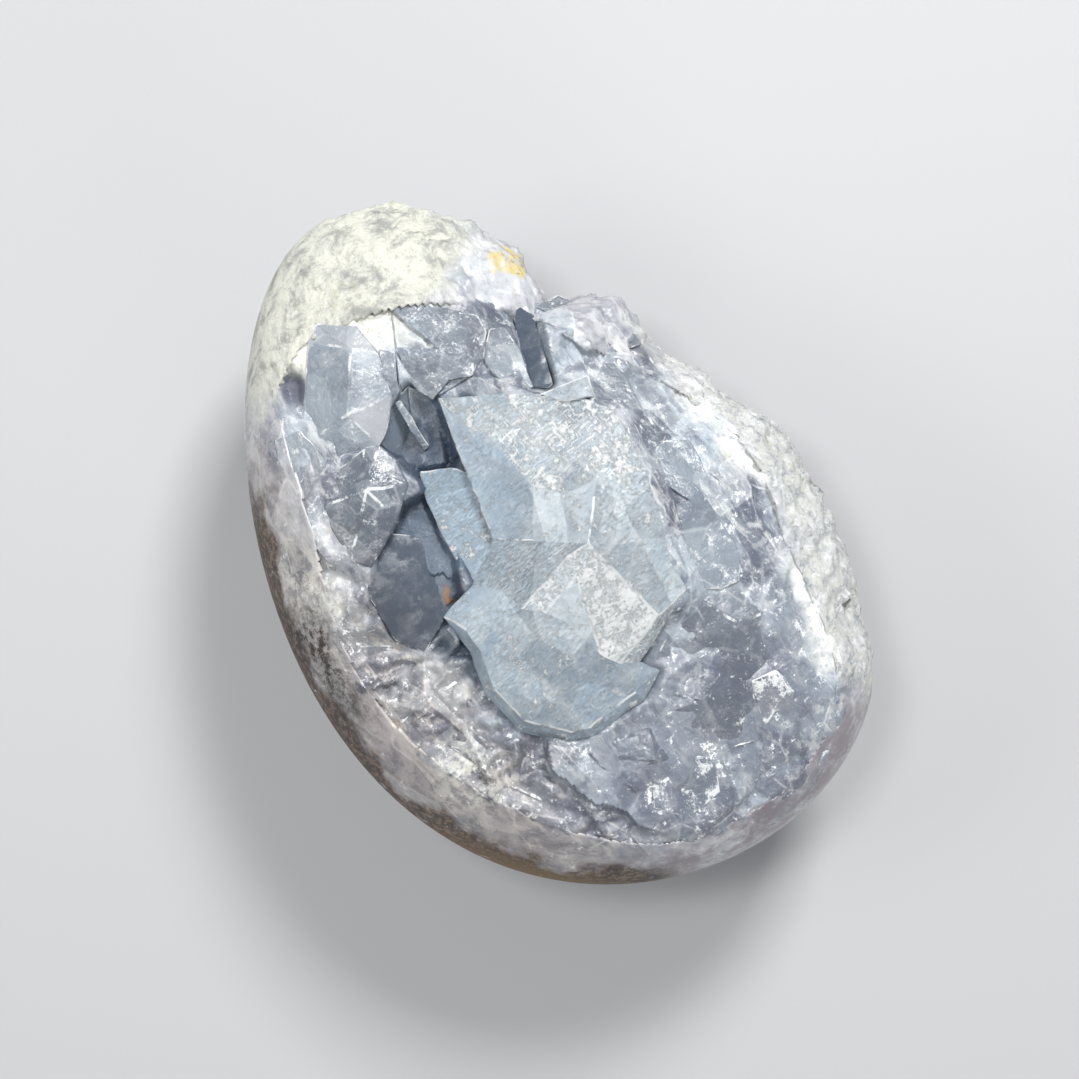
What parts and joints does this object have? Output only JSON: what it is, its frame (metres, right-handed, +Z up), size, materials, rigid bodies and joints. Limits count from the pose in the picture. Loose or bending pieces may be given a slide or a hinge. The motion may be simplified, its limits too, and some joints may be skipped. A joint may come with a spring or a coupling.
{
  "type": "polished celestite geode egg",
  "caption": "Celestite geode piece ground to an egg, polished on its back, with an open crust of pale blue crystals on its front; lies on its rounded back.",
  "frame": {"origin": "centre of the bounding box in plan, on the surface that the piece lies on", "axes": "+Z up out of the crystals, +Y along the egg to its narrow end, +X across it to the broken rim"},
  "size_m": [0.0614, 0.0878, 0.0476],
  "materials": {
    "massive_celestite": "ground and polished, cloudy grey-white with lilac-grey patches, chalky white where broken, brown rind on one side",
    "celestite_crystal": "glassy see-through pale blue crystal faces with white frosted edges and fine etched grain"
  },
  "bodies": {
    "root": {"geode_stone": "massive_celestite", "crystal_crust": "celestite_crystal"}
  },
  "joints": []
}
